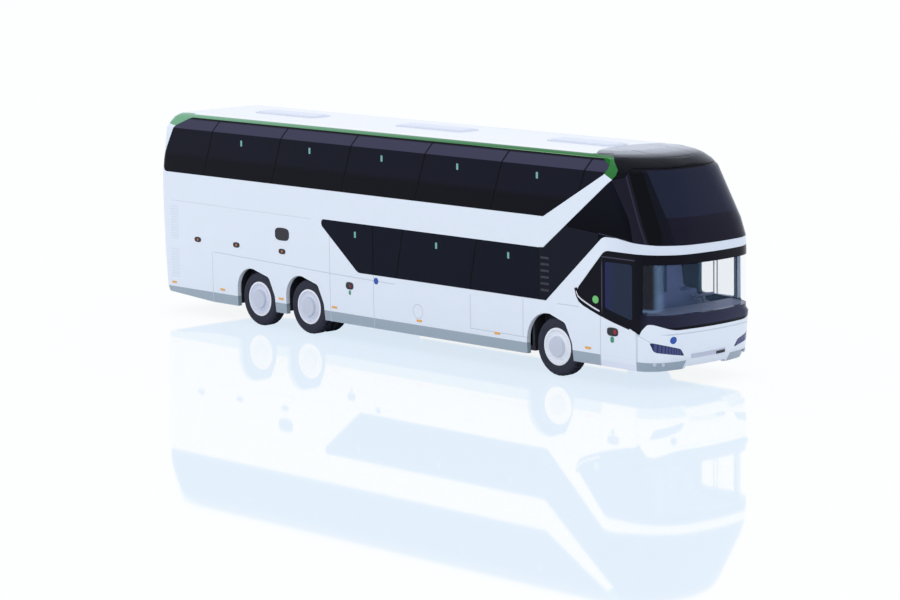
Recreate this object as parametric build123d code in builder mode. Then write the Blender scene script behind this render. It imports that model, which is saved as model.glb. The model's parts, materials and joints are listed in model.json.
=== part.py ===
from build123d import *
import math
import os

os.makedirs("parts", exist_ok=True)

# A three-axle double-deck touring coach as a 1:87 scale model. Sizes are the model's own
# millimetres. X points forward, Y to the coach's left, Z up, and the origin is on the
# ground under the middle of its length.

# Body
body_length = 160.4
half_width = 14.66
wall = 1.0
fit_gap = 0.05            # clearance of a pane or cover in its opening
nose_bow = 50.0           # radius of the front face in plan
tail_bow = 110.0          # radius of the rear face in plan
nose_x = body_length / 2
tail_x = -body_length / 2
side_depth = 3.3          # how far in from its side a one-sided cut reaches

# Heights: the lowest level, then the rise from each level to the next
bottom_z = 3.75
skirt_rise = 2.25         # grey skirt
lip_rise = 7.5            # white front piece
ledge_rise = 0.7
sill_rise = 1.1
window_rise = 10.7        # lower side windows
frame_rise = 1.05         # black strip above the cab windows
band_rise = 1.85          # white band round the front
upper_frame_rise = 3.5
upper_window_rise = 10.2  # upright part of the upper windows
brow_rise = 1.3           # roof front starts to round over
lean_rise = 1.0           # rest of the part that leans in
cove_rise = 0.45
gutter_rise = 0.35
roof_rise = 0.4
skirt_z = bottom_z + skirt_rise
lip_z = skirt_z + lip_rise
ledge_z = lip_z + ledge_rise
sill_z = ledge_z + sill_rise
belt_z = sill_z + window_rise
band_low_z = belt_z + frame_rise
band_high_z = band_low_z + band_rise
upper_sill_z = band_high_z + upper_frame_rise
shoulder_z = upper_sill_z + upper_window_rise
brow_z = shoulder_z + brow_rise
eave_z = brow_z + lean_rise
cove_z = eave_z + cove_rise
gutter_z = cove_z + gutter_rise
roof_z = gutter_z + roof_rise

# Wheels
wheel_radius = 6.05
tyre_width = 3.2
wheel_inset = 0.46        # tyre's outer face behind the widest side
wheel_face_y = half_width - wheel_inset
rim_radius = 3.85
twin_gap = 0.5
axle_radius = 0.75
axle_play = 0.06
wheel_room = 0.45         # free space round a tyre
hub_radius = 2.0
hub_proud = 0.35          # hub stands out past the tyre's face
pin_depth = 1.0           # axle's end below the tyre's face

# Floors and chassis
chassis_rise = 0.55       # floor pan above the lower edge of the body
chassis_thickness = 1.0
lower_floor_rise = 7.25   # above the lower edge of the body
upper_floor_rise = 1.2    # above the lower windows
floor_thickness = 0.8
well_wall = 0.6
well_room = 1.0           # free space between a wheel and its well
chassis_z = bottom_z + chassis_rise
lower_floor_z = bottom_z + lower_floor_rise
upper_floor_z = belt_z + upper_floor_rise

# Seam between side wall and front piece
nose_seam_x = nose_x - 8.3

# Plan outlines of the body, one row per height. The set-backs are from the widest side,
# the foremost and the rearmost point.
body_sections = (
    # z, side set-back, front set-back, rear set-back, front corner, rear corner
    (bottom_z, 0.20, 3.2, 1.8, 5.0, 2.3),
    (skirt_z, 0.06, 1.8, 0.9, 5.2, 2.3),
    (lip_z, 0.0, 0.7, 0.4, 6.2, 2.3),
    (ledge_z, 0.0, 1.1, 0.35, 6.8, 2.3),
    (belt_z, 0.0, 0.35, 0.0, 8.4, 2.3),
    (band_high_z, 0.0, 0.0, 0.0, 9.6, 2.3),
    (upper_sill_z, 0.0, 1.1, 0.1, 10.2, 2.3),
    (shoulder_z, 0.2, 6.1, 1.7, 12.2, 2.4),
    (brow_z, 1.05, 7.0, 2.2, 12.3, 2.6),
    (eave_z, 1.76, 8.7, 2.7, 12.0, 2.8),
    (cove_z, 2.25, 10.3, 3.3, 11.5, 2.9),
    (gutter_z, 2.76, 12.6, 4.0, 11.0, 3.0),
    (roof_z, 5.2, 17.5, 7.4, 9.0, 3.0),
)

# Axles: place along X, wheels are twins or single, reach of the arch behind and ahead
axle_table = (
    # name, x, twin, arch behind, arch ahead
    ("front", nose_x - 30.8, False, 8.3, 5.1),
    ("drive", tail_x + 52.4, True, 7.15, 6.0),
    ("tag", tail_x + 35.55, False, 7.2, 6.2),
)

# Side-view outlines. Rows are x, z, corner radius.
upper_window = (
    (tail_x + 2.3, upper_sill_z, 1.5),
    (nose_x - 34.1, upper_sill_z, 0.4),
    (nose_x - 11.94, eave_z + 0.2, 1.7),
    (tail_x + 11.0, eave_z + 0.2, 3.0),
    (tail_x + 6.45, shoulder_z + 0.4, 2.0),
    (tail_x + 2.3, upper_sill_z + 3.0, 5.0),
)
lower_window = (
    (tail_x + 57.6, belt_z, 0.8),
    (tail_x + 57.6, belt_z - 1.4, 1.0),
    (tail_x + 69.4, sill_z, 2.2),
    (nose_x - 35.75, sill_z, 0.0),
    (nose_x - 35.75, belt_z, 0.0),
)
# Joint between the lower and the upper quarter panel, from the rear to the front
quarter_joint = (
    (nose_x - 27.9, band_high_z + 2.15, 0.0),
    (nose_x - 18.5, band_high_z + 1.45, 0.0),
    (nose_x - 18.5, band_high_z - 0.25, 0.0),
)
# Joint between the upper quarter panel and the upper windscreen, from the top down
screen_joint = (
    (nose_x - 15.25, shoulder_z - 1.5, 0.0),
    (nose_x - 10.1, upper_sill_z + 0.8, 8.0),
    (nose_x - 9.2, band_high_z + 0.3, 0.0),
)
# Joint between windscreen and roof front, from the rear to the front
dome_joint = (
    (nose_x - 15.25, shoulder_z - 1.5, 0.0),
    (nose_x - 12.45, shoulder_z - 0.7, 0.3),
    (nose_x - 12.2, shoulder_z + 0.82, 0.7),
    (nose_x + 4.0, shoulder_z + 0.82, 0.0),
)
quarter_low = (
    (nose_x - 35.65, sill_z, 0.0),
    (nose_x - 33.45, sill_z, 0.0),
    *reversed(quarter_joint),
    (nose_x - 34.1, belt_z + 0.15, 0.0),
    (nose_x - 35.65, belt_z, 0.0),
)
quarter_high = (
    *quarter_joint,
    (nose_x - 17.25, band_high_z + 0.86, 2.6),
    (nose_x - 13.6, band_high_z + 0.86, 3.0),
    *reversed(screen_joint),
)
upper_screen = (
    *reversed(dome_joint),
    *screen_joint[1:],
    (nose_x - 4.4, band_high_z, 3.0),
    (nose_x + 4.0, band_high_z - 0.05, 0.0),
)
dome = (
    (nose_x - 28.0, roof_z + 2, 0.0),
    (nose_x - 28.0, gutter_z + 0.05, 0.0),
    (nose_x - 17.6, gutter_z + 0.05, 4.5),
    (nose_x - 13.8, shoulder_z + 0.1, 1.0),
    *dome_joint,
    (nose_x + 4.0, roof_z + 2, 0.0),
)
roof_end_side_x = nose_x - 22.0     # where the white roof ends at its edge
roof_end_middle_x = nose_x - 25.9   # and on the middle plane
cab_black_top = (
    # the black cab area starts at its rear lower corner
    (nose_x - 25.3, sill_z + 2.6, 1.2),
    (nose_x - 16.9, band_low_z, 2.6),
    (nose_x + 4.0, band_low_z, 0.0),
)
# Lower edge of the black front, from the front back to the seam of the door pillar
front_joint = (
    (nose_x + 4.0, lip_z - 0.15, 0.0),
    (nose_x - 5.6, lip_z - 0.15, 0.9),
    (nose_x - 6.9, lip_z - 1.5, 1.2),
    (nose_x - 7.5, lip_z - 2.45, 0.0),
    (nose_seam_x, lip_z - 2.1, 0.0),
)
cab_black = (*cab_black_top, *front_joint)
door_pane = (
    (nose_x - 16.8, sill_z + 0.2, 0.6),
    (nose_x - 16.8, belt_z - 1.1, 0.6),
    (nose_x - 9.3, belt_z - 1.1, 0.6),
    (nose_x - 9.3, sill_z - 1.7, 0.6),
)
driver_pane = (
    (nose_x - 17.7, sill_z + 0.2, 0.6),
    (nose_x - 17.7, belt_z - 1.1, 0.6),
    (nose_x - 7.9, belt_z - 1.1, 0.6),
    (nose_x - 7.9, sill_z + 0.2, 0.6),
)
lower_screen = (
    (nose_x - 6.8, sill_z - 0.3, 0.5),
    (nose_x - 6.8, belt_z - 0.9, 0.5),
    (nose_x + 4.0, belt_z - 0.9, 0.0),
    (nose_x + 4.0, sill_z - 0.3, 0.0),
)
front_low = (
    (nose_seam_x, bottom_z - 1, 0.0),
    *reversed(front_joint),
    (nose_x + 4.0, bottom_z - 1, 0.0),
)

# Front-view outlines of the right half. Rows are distance in from the side, z, corner radius.
front_dip = (
    (0.66, lip_z - 0.1, 0.0),
    (4.06, lip_z - 1.45, 9.0),
)
headlamp_outline = (
    (0.61, bottom_z + 6.0, 0.2),
    (1.16, bottom_z + 4.0, 0.9),
    (7.46, bottom_z + 2.9, 0.15),
    (6.36, bottom_z + 4.4, 0.8),
)
headlamp_depth_x = nose_x - 7.8     # headlamps lie ahead of this plane
bumper_gap_half = 5.9     # the lower edge is raised between the grey corner pieces
bumper_gap_rise = 0.5

# Rear pieces: half-width and heights
rear_window_half = 11.0
rear_window_low = upper_sill_z + 0.8
rear_window_high = shoulder_z - 0.2
engine_cover_half = 9.4
engine_cover_low = bottom_z + 5.25
engine_cover_high = belt_z - 2.5
tail_lamp_inner = 10.6
tail_lamp_low = bottom_z + 6.25
tail_lamp_high = sill_z + 3.7
tail_lamp_depth = 1.1     # lamps are let into the tail to this distance from its rearmost point
rear_cut_depth = 8.0
rear_ramp_x = tail_x + 19.45      # the skirt rises from here to the tail
rear_ramp_rise = 1.1
slat_count = 9            # ventilation slats of the engine cover
slat_pitch = 0.9
slat_depth = 0.3
slat_half = 7.4

# Roof hatches: a raised panel over each opening
hatch_half = 3.0
hatch_height = 0.35
hatch_rim = 0.55          # flat edge round the raised middle
hatch_table = (
    # name, rear end, front end
    ("rear", tail_x + 21.2, tail_x + 41.6),
    ("middle", -11.6, 9.6),
    ("front", nose_x - 45.3, nose_x - 26.5),
)

# Seats
seat_width = 4.9
seat_depth = 4.6
seat_thickness = 1.1
seat_rise = 4.0           # seat cushion above its floor
seat_back = 8.2           # back's top above the cushion's underside
aisle_half = 2.9
lower_seat_pitch = 9.2
upper_seat_pitch = 9.0
lower_deck_rear_x = tail_x + 24.2
lower_deck_front_x = nose_x - 25.2
upper_deck_rear_x = tail_x + 6.2
upper_deck_front_x = nose_x - 7.2
driver_seat_x = nose_x - 17.2
driver_seat_inner = half_width - 9.46
lower_seat_rows = 4
lower_seat_front_x = lower_deck_front_x - 17.4
dash_x = nose_x - 7.1     # rear foot of the dashboard
stair_inner = 2.5         # side of the stairs beyond the middle plane, towards the door
stair_width = 5.0
stair_steps = 4
stair_going = 2.5
stair_rise = 2.9
bulkhead_x = nose_x - 14.0
bulkhead_thickness = 0.6
bulkhead_top_z = belt_z - 0.5
bulkhead_inner_y = -0.3
bulkhead_top_y = 2.1
bulkhead_foot_y = half_width - 5.86
steering_x = nose_x - 11.2
steering_y = driver_seat_inner + 2.8
steering_radius = 2.4
steering_height = 4.1     # hub above the cab floor


def corner_lean(half, corner, bow):
    # angle at which the corner arc runs into the bowed end face
    return math.asin((half - corner) / (bow - corner))


def end_points(half, tip, corner, bow, way):
    # points of one end of a plan outline; way is 1 at the nose and -1 at the tail
    lean = corner_lean(half, corner, bow)
    face_x = tip - way * bow * (1 - math.cos(lean))
    side_x = face_x - way * corner * math.cos(lean)
    middle = (math.pi / 2 + lean) / 2
    return (
        (face_x, bow * math.sin(lean)),
        (side_x + way * corner * math.cos(middle), half - corner + corner * math.sin(middle)),
        (side_x, half),
    )


def body_block(inset=0.0):
    # the closed outer form of the coach, or the same form lying inset inside it
    with BuildPart() as block:
        for z, side_in, front_in, rear_in, front_corner, rear_corner in body_sections:
            half = half_width - side_in - inset
            nose = nose_x - front_in - inset
            tail = tail_x + rear_in + inset
            over_shoulder = max(0.0, (z - shoulder_z) / (roof_z - shoulder_z))
            level = z - inset * over_shoulder
            front = end_points(half, nose, front_corner - inset, nose_bow, 1)
            rear = end_points(half, tail, rear_corner - inset, tail_bow, -1)
            with BuildSketch(Plane.XY.offset(level)):
                with BuildLine():
                    (fx, fy), (fmx, fmy), (fsx, fsy) = front
                    (rx, ry), (rmx, rmy), (rsx, rsy) = rear
                    ThreePointArc((fx, -fy), (nose, 0), (fx, fy))
                    ThreePointArc((fx, fy), (fmx, fmy), (fsx, fsy))
                    Line((fsx, fsy), (rsx, rsy))
                    ThreePointArc((rsx, rsy), (rmx, rmy), (rx, ry))
                    ThreePointArc((rx, ry), (tail, 0), (rx, -ry))
                    ThreePointArc((rx, -ry), (rmx, -rmy), (rsx, -rsy))
                    Line((rsx, -rsy), (fsx, -fsy))
                    ThreePointArc((fsx, -fsy), (fmx, -fmy), (fx, -fy))
                make_face()
        loft(ruled=True)
    return block.part


def outline_wire(rows):
    # a closed outline of straight runs with its corners rounded; rows of two places and a radius
    FilletPolyline(*[row[:2] for row in rows], radius=[row[2] for row in rows], close=True)


def side_region(outline, side=0, gap=0.0):
    # a side-view outline carried across the coach: side -1 right, 1 left, 0 both
    reach = half_width + 2
    inner = half_width - side_depth
    with BuildPart() as region:
        with BuildSketch(Plane.XZ.offset(inner if side < 0 else -reach)):
            with BuildLine():
                outline_wire(outline)
            make_face()
            if gap:
                offset(amount=-gap, kind=Kind.INTERSECTION, mode=Mode.REPLACE)
        extrude(amount=2 * reach if side == 0 else reach - inner)
    return region.part


def rear_region(half, low, high, corner, gap=0.0, inner=0.0, side=0, depth=rear_cut_depth):
    # a rounded rectangle seen from behind, carried through the rear wall
    width = 2 * half if side == 0 else half - inner
    middle = 0.0 if side == 0 else side * (half + inner) / 2
    with BuildPart() as region:
        with BuildSketch(Plane.YZ.offset(tail_x - 1)):
            with Locations((middle, (low + high) / 2)):
                RectangleRounded(width - 2 * gap, high - low - 2 * gap, corner)
        extrude(amount=1 + depth - gap)
    return region.part


def tail_lamp_region(side, gap=0.0):
    half = half_width + 1
    return rear_region(half, tail_lamp_low, tail_lamp_high, 0.6, gap, tail_lamp_inner, side, tail_lamp_depth)


def black_dip(gap=0.0):
    # the black front panel hangs lower between the corners than at its sides
    rows = [(half_width - side_in, z + gap, corner) for side_in, z, corner in front_dip]
    half = rows[0][0]
    rows += [(-y, z, corner) for y, z, corner in reversed(rows)]
    rows += [(-half, sill_z, 0.0), (half, sill_z, 0.0)]
    with BuildPart() as region:
        with BuildSketch(Plane.YZ.offset(headlamp_depth_x)):
            with BuildLine():
                outline_wire(rows)
            make_face()
        extrude(amount=nose_x + 1 - headlamp_depth_x)
    return region.part


def dome_block(gap=0.0):
    # the black roof front; on top it ends in an arc that bows to the rear
    side_y = half_width - 3.1
    with BuildPart() as region:
        add(side_region(dome, 0, gap))
        with BuildSketch(Plane.XY.offset(gutter_z)):
            with BuildLine():
                ThreePointArc(
                    (roof_end_side_x + gap, -side_y),
                    (roof_end_middle_x + gap, 0),
                    (roof_end_side_x + gap, side_y),
                )
                Polyline(
                    (roof_end_side_x + gap, side_y),
                    (roof_end_side_x + gap, half_width + 2),
                    (roof_end_side_x - 9.0, half_width + 2),
                    (roof_end_side_x - 9.0, -half_width - 2),
                    (roof_end_side_x + gap, -half_width - 2),
                    (roof_end_side_x + gap, -side_y),
                )
            make_face()
        extrude(amount=4.0, mode=Mode.SUBTRACT)
    return region.part


def arch_cut(x, behind, ahead):
    # the opening over one axle, through both sides
    top = wheel_radius * 2 + 0.6
    outline = (
        (x - behind, bottom_z - 2, 0.0),
        (x - behind, top, behind - 2.3),
        (x - 1.7, top, 0.4),
        (x + ahead - 2.4, top - 1.4, 1.4),
        (x + ahead - 0.4, top - 5.4, 3.0),
        (x + ahead, bottom_z - 2, 0.0),
    )
    return side_region(outline)


def wheel_rooms(x, twin, room):
    # the space that the turning wheels of one axle need
    inner = wheel_face_y - tyre_width - (tyre_width + twin_gap if twin else 0) - room
    with BuildPart() as rooms:
        for side in (-1, 1):
            start = Plane.XZ.offset(-side * inner)
            with BuildSketch(start):
                with Locations((x, wheel_radius)):
                    Circle(wheel_radius + room)
            extrude(amount=-side * (wheel_face_y + 0.06 - inner))
    return rooms.part


outer_form = body_block()
inner_form = body_block(wall)
lining_form = body_block(wall + fit_gap)

# The skin that all body pieces are cut from
with BuildPart() as skin:
    add(outer_form)
    add(inner_form, mode=Mode.SUBTRACT)
    with BuildSketch(Plane.XZ.offset(-half_width - 1)):
        with BuildLine():
            Polyline(
                (rear_ramp_x, bottom_z - 1),
                (rear_ramp_x, bottom_z),
                (tail_x + 2, bottom_z + rear_ramp_rise),
                (tail_x - 2, bottom_z + rear_ramp_rise + 0.2),
                (tail_x - 2, bottom_z - 1),
                close=True,
            )
        make_face()
    extrude(amount=2 * half_width + 2, mode=Mode.SUBTRACT)
    for name, x, twin, behind, ahead in axle_table:
        add(arch_cut(x, behind, ahead), mode=Mode.SUBTRACT)
        add(wheel_rooms(x, twin, wheel_room), mode=Mode.SUBTRACT)


def headlamp_region(side, gap=0.0):
    # a front-view outline carried back through the corner of the front piece
    rows = [(side * (half_width - side_in), z, corner) for side_in, z, corner in headlamp_outline]
    with BuildPart() as region:
        with BuildSketch(Plane.YZ.offset(headlamp_depth_x)):
            with BuildLine():
                outline_wire(rows)
            make_face()
            if gap:
                offset(amount=-gap, kind=Kind.INTERSECTION, mode=Mode.REPLACE)
        extrude(amount=nose_x + 1 - headlamp_depth_x)
    return region.part


# Body shell: sides, roof, arms and the band round the front, in one moulding
with BuildPart() as body_shell:
    add(skin.part)
    for side in (-1, 1):
        add(side_region(upper_window, side), mode=Mode.SUBTRACT)
        add(side_region(lower_window, side), mode=Mode.SUBTRACT)
        add(side_region(quarter_low, side), mode=Mode.SUBTRACT)
        add(side_region(quarter_high, side), mode=Mode.SUBTRACT)
    add(side_region(upper_screen), mode=Mode.SUBTRACT)
    add(dome_block(), mode=Mode.SUBTRACT)
    add(side_region(cab_black), mode=Mode.SUBTRACT)
    add(side_region(front_low), mode=Mode.SUBTRACT)
    add(black_dip(), mode=Mode.SUBTRACT)
    add(rear_region(rear_window_half, rear_window_low, rear_window_high, 1.5), mode=Mode.SUBTRACT)
    add(rear_region(engine_cover_half, engine_cover_low, engine_cover_high, 1.0), mode=Mode.SUBTRACT)
    for side in (-1, 1):
        add(tail_lamp_region(side), mode=Mode.SUBTRACT)
body_shell.part.label = "body_shell"
export_step(body_shell.part, "parts/body_shell.step")

# Side glazing, one long moulding for each deck and side
for side, side_name in ((-1, "right"), (1, "left")):
    for label, outline in (
        ("upper_side_glazing", upper_window),
        ("lower_side_glazing", lower_window),
        ("quarter_panel", quarter_low),
        ("upper_quarter_glazing", quarter_high),
    ):
        with BuildPart() as pane:
            add(skin.part)
            add(side_region(outline, side, fit_gap), mode=Mode.INTERSECT)
        pane.part.label = f"{label}_{side_name}"
        export_step(pane.part, f"parts/{label}_{side_name}.step")

# Black roof front
with BuildPart() as front_dome:
    add(skin.part)
    add(dome_block(fit_gap), mode=Mode.INTERSECT)
front_dome.part.label = "front_dome"
export_step(front_dome.part, "parts/front_dome.step")

# Upper windscreen, wrapped round both corners
with BuildPart() as upper_windscreen:
    add(skin.part)
    add(side_region(upper_screen, 0, fit_gap), mode=Mode.INTERSECT)
upper_windscreen.part.label = "upper_windscreen"
export_step(upper_windscreen.part, "parts/upper_windscreen.step")

# Black surround of the cab windows and the lower windscreen
with BuildPart() as windscreen_surround:
    add(skin.part)
    with BuildPart(mode=Mode.PRIVATE) as black_area:
        add(side_region(cab_black, 0, fit_gap))
        add(black_dip(fit_gap))
    add(black_area.part, mode=Mode.INTERSECT)
    add(side_region(lower_screen), mode=Mode.SUBTRACT)
    add(side_region(door_pane, -1), mode=Mode.SUBTRACT)
    add(side_region(driver_pane, 1), mode=Mode.SUBTRACT)
windscreen_surround.part.label = "windscreen_surround"
export_step(windscreen_surround.part, "parts/windscreen_surround.step")

# Clear lower windscreen
with BuildPart() as lower_windscreen:
    add(skin.part)
    add(side_region(lower_screen, 0, fit_gap), mode=Mode.INTERSECT)
lower_windscreen.part.label = "lower_windscreen"
export_step(lower_windscreen.part, "parts/lower_windscreen.step")

# Door window on the right and driver's window on the left
for side, label, outline in ((-1, "door_window", door_pane), (1, "driver_window", driver_pane)):
    with BuildPart() as pane:
        add(skin.part)
        add(side_region(outline, side, fit_gap), mode=Mode.INTERSECT)
    pane.part.label = label
    export_step(pane.part, f"parts/{label}.step")

# Front piece with the bumper, cut out for the headlamps
with BuildPart() as front_bumper:
    add(skin.part)
    add(side_region(front_low, 0, fit_gap), mode=Mode.INTERSECT)
    add(black_dip(), mode=Mode.SUBTRACT)
    for side in (-1, 1):
        add(headlamp_region(side), mode=Mode.SUBTRACT)
    with BuildSketch(Plane.XY.offset(bottom_z - 1)):
        with Locations((nose_x, 0)):
            Rectangle(2 * (nose_x - headlamp_depth_x), 2 * bumper_gap_half)
    extrude(amount=1 + bumper_gap_rise, mode=Mode.SUBTRACT)
front_bumper.part.label = "front_bumper"
export_step(front_bumper.part, "parts/front_bumper.step")

for side, side_name in ((-1, "right"), (1, "left")):
    with BuildPart() as headlamp:
        add(skin.part)
        add(headlamp_region(side, fit_gap), mode=Mode.INTERSECT)
        add(side_region(front_low, 0, fit_gap), mode=Mode.INTERSECT)
    headlamp.part.label = f"headlamp_{side_name}"
    export_step(headlamp.part, f"parts/headlamp_{side_name}.step")


def slat_grooves():
    # the grooves between the ventilation slats, cut to an even depth into the bowed tail
    with BuildPart() as grooves:
        with BuildSketch(Plane.YZ.offset(tail_x - 1)):
            with Locations((0, (engine_cover_low + engine_cover_high) / 2)):
                with GridLocations(0, slat_pitch, 1, slat_count):
                    Rectangle(2 * slat_half, slat_pitch / 2)
        extrude(amount=1 + rear_cut_depth / 2)
        add(body_block(slat_depth), mode=Mode.SUBTRACT)
    return grooves.part


# Rear window, engine cover and tail lamps
with BuildPart() as rear_window:
    add(skin.part)
    add(rear_region(rear_window_half, rear_window_low, rear_window_high, 1.5, fit_gap), mode=Mode.INTERSECT)
rear_window.part.label = "rear_window"
export_step(rear_window.part, "parts/rear_window.step")

with BuildPart() as engine_cover:
    add(skin.part)
    add(
        rear_region(engine_cover_half, engine_cover_low, engine_cover_high, 1.0, fit_gap),
        mode=Mode.INTERSECT,
    )
    add(slat_grooves(), mode=Mode.SUBTRACT)
engine_cover.part.label = "engine_cover"
export_step(engine_cover.part, "parts/engine_cover.step")

for side, side_name in ((-1, "right"), (1, "left")):
    with BuildPart() as tail_lamp:
        add(skin.part)
        add(tail_lamp_region(side, fit_gap), mode=Mode.INTERSECT)
    tail_lamp.part.label = f"tail_lamp_{side_name}"
    export_step(tail_lamp.part, f"parts/tail_lamp_{side_name}.step")

# Roof hatches stand on the roof
for name, rear_end, front_end in hatch_table:
    with BuildPart() as hatch:
        middle = (rear_end + front_end) / 2
        with BuildSketch(Plane.XY.offset(roof_z)):
            with Locations((middle, 0)):
                RectangleRounded(front_end - rear_end, 2 * hatch_half, 1.2)
        extrude(amount=hatch_height / 2)
        with BuildSketch(Plane.XY.offset(roof_z + hatch_height / 2)):
            with Locations((middle, 0)):
                RectangleRounded(front_end - rear_end - 2 * hatch_rim, 2 * (hatch_half - hatch_rim), 0.9)
        extrude(amount=hatch_height / 2, taper=45)
    hatch.part.label = f"roof_hatch_{name}"
    export_step(hatch.part, f"parts/roof_hatch_{name}.step")


def well_blocks(grow=0.0):
    # outsides of the wheel wells; grown a little they cut a floor, shrunk they are the hollows
    with BuildPart() as blocks:
        for name, x, twin, behind, ahead in axle_table:
            inner = wheel_face_y - tyre_width - wheel_room - well_wall
            if twin:
                inner -= tyre_width + twin_gap
            length = 2 * (wheel_radius + well_room + well_wall + grow)
            for side in (-1, 1):
                with BuildSketch(Plane.XY.offset(chassis_z + min(grow, 0.0))):
                    with Locations((x, side * (inner - grow + half_width / 2))):
                        Rectangle(length, half_width)
                extrude(amount=2 * wheel_radius + well_room + well_wall + grow - (chassis_z + min(grow, 0.0)))
    return blocks.part


# Chassis: floor pan with wheel wells and the saddles that hold the axles
with BuildPart() as chassis:
    with BuildSketch(Plane.XY.offset(chassis_z)):
        with Locations(((nose_x + tail_x) / 2 - 2.0, 0)):
            Rectangle(body_length - 16, 4 * half_width)
    extrude(amount=chassis_thickness)
    add(well_blocks())
    for name, x, twin, behind, ahead in axle_table:
        with BuildSketch(Plane.XY.offset(chassis_z - 0.6)):
            with Locations((x, 0)):
                Rectangle(5.0, 11.0)
        extrude(amount=4.6)
    add(well_blocks(-well_wall), mode=Mode.SUBTRACT)
    for name, x, twin, behind, ahead in axle_table:
        with BuildSketch(Plane.XZ.offset(-half_width)):
            with Locations((x, wheel_radius)):
                Circle(axle_radius + axle_play)
        extrude(amount=2 * half_width, mode=Mode.SUBTRACT)
    add(lining_form, mode=Mode.INTERSECT)
chassis.part.label = "chassis"
export_step(chassis.part, "parts/chassis.step")


def seat_pair(x, side, floor_top, inner=aisle_half):
    # a double seat: cushion on a plinth with a raked back, as one profile drawn in side view
    with BuildPart() as pair:
        with BuildSketch(Plane.XZ.offset(inner if side < 0 else -inner - seat_width)):
            with BuildLine():
                Polyline(
                    (x - 0.9, floor_top),
                    (x + 0.9, floor_top),
                    (x + 1.1, floor_top + seat_rise),
                    (x + seat_depth / 2, floor_top + seat_rise),
                    (x + seat_depth / 2, floor_top + seat_rise + seat_thickness),
                    (x - 1.3, floor_top + seat_rise + seat_thickness),
                    (x - 2.3, floor_top + seat_rise + seat_back),
                    (x - 3.3, floor_top + seat_rise + seat_back),
                    (x - 2.2, floor_top + seat_rise),
                    (x - 1.0, floor_top + seat_rise),
                    close=True,
                )
            make_face()
        extrude(amount=seat_width)
    return pair.part


def deck(floor_z, rear_end, front_end):
    # a floor that fills the inside of the body at its height
    with BuildPart() as floor:
        with BuildSketch(Plane.XY.offset(floor_z)):
            with Locations(((rear_end + front_end) / 2, 0)):
                Rectangle(front_end - rear_end, 4 * half_width)
        extrude(amount=floor_thickness)
        add(lining_form, mode=Mode.INTERSECT)
    return floor.part


# Lower deck: floor between the wheel wells, seat rows between the doors
with BuildPart() as lower_deck:
    add(deck(lower_floor_z, lower_deck_rear_x, lower_deck_front_x))
    add(well_blocks(fit_gap), mode=Mode.SUBTRACT)
    for row in range(lower_seat_rows):
        for side in (-1, 1):
            add(seat_pair(lower_seat_front_x - row * lower_seat_pitch, side, lower_floor_z + floor_thickness))
lower_deck.part.label = "lower_deck"
export_step(lower_deck.part, "parts/lower_deck.step")

# Upper deck: floor over the whole length, seat rows on both sides of the aisle
with BuildPart() as upper_deck:
    add(deck(upper_floor_z, upper_deck_rear_x, upper_deck_front_x))
    rows = int((upper_deck_front_x - upper_deck_rear_x - 2 * upper_seat_pitch) / upper_seat_pitch) + 1
    for row in range(rows):
        for side in (-1, 1):
            x = upper_deck_rear_x + (row + 1.1) * upper_seat_pitch
            add(seat_pair(x, side, upper_floor_z + floor_thickness))
upper_deck.part.label = "upper_deck"
export_step(upper_deck.part, "parts/upper_deck.step")

# Cab: raised floor, dashboard, partition with the stairs, driver's seat and wheel
with BuildPart() as cab_floor:
    add(deck(lower_floor_z, lower_deck_front_x + 2 * fit_gap, upper_deck_front_x))
    add(well_blocks(fit_gap), mode=Mode.SUBTRACT)
cab_floor.part.label = "cab_floor"
export_step(cab_floor.part, "parts/cab_floor.step")

cab_floor_top = lower_floor_z + floor_thickness
with BuildPart() as dashboard:
    with BuildSketch(Plane.XZ.offset(-half_width)):
        with BuildLine():
            FilletPolyline(
                (dash_x, lower_floor_z),
                (dash_x, lower_floor_z + 2.2),
                (dash_x - 1.9, lower_floor_z + 3.0),
                (dash_x - 1.5, lower_floor_z + 4.3),
                (nose_x + 1, lower_floor_z + 3.7),
                (nose_x + 1, lower_floor_z),
                radius=[0.0, 0.3, 0.3, 0.5, 0.0, 0.0],
                close=True,
            )
        make_face()
    extrude(amount=2 * half_width)
    add(lining_form, mode=Mode.INTERSECT)
dashboard.part.label = "dashboard"
export_step(dashboard.part, "parts/dashboard.step")

# Stairs behind the front door and the curved bulkhead beside them
with BuildPart() as staircase:
    with BuildSketch(Plane.XZ.offset(stair_inner)):
        with BuildLine():
            stair = [(bulkhead_x, cab_floor_top)]
            for step in range(stair_steps):
                x = bulkhead_x - step * stair_going
                z = cab_floor_top + (step + 1) * stair_rise
                stair += [(x, z), (x - stair_going, z)]
            stair.append((bulkhead_x - stair_steps * stair_going, cab_floor_top))
            Polyline(*stair, close=True)
        make_face()
    extrude(amount=stair_width)
    with BuildSketch(Plane.YZ.offset(bulkhead_x)):
        with BuildLine():
            Polyline(
                (bulkhead_foot_y, cab_floor_top + 3.1),
                (bulkhead_foot_y, cab_floor_top),
                (-stair_inner - stair_width, cab_floor_top),
                (-stair_inner - stair_width, cab_floor_top + stair_rise),
                (-stair_inner, bulkhead_top_z - 8.0),
                (bulkhead_inner_y, bulkhead_top_z - 8.0),
                (bulkhead_inner_y, bulkhead_top_z),
                (bulkhead_top_y, bulkhead_top_z),
                (bulkhead_top_y, bulkhead_top_z - 5.5),
            )
            ThreePointArc(
                (bulkhead_top_y, bulkhead_top_z - 5.5),
                (bulkhead_top_y + 2.1, cab_floor_top + 5.1),
                (bulkhead_foot_y, cab_floor_top + 3.1),
            )
        make_face()
    extrude(amount=bulkhead_thickness)
staircase.part.label = "staircase"
export_step(staircase.part, "parts/staircase.step")

with BuildPart() as driver_seat:
    add(seat_pair(driver_seat_x, 1, cab_floor_top, driver_seat_inner))
driver_seat.part.label = "driver_seat"
export_step(driver_seat.part, "parts/driver_seat.step")

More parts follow.
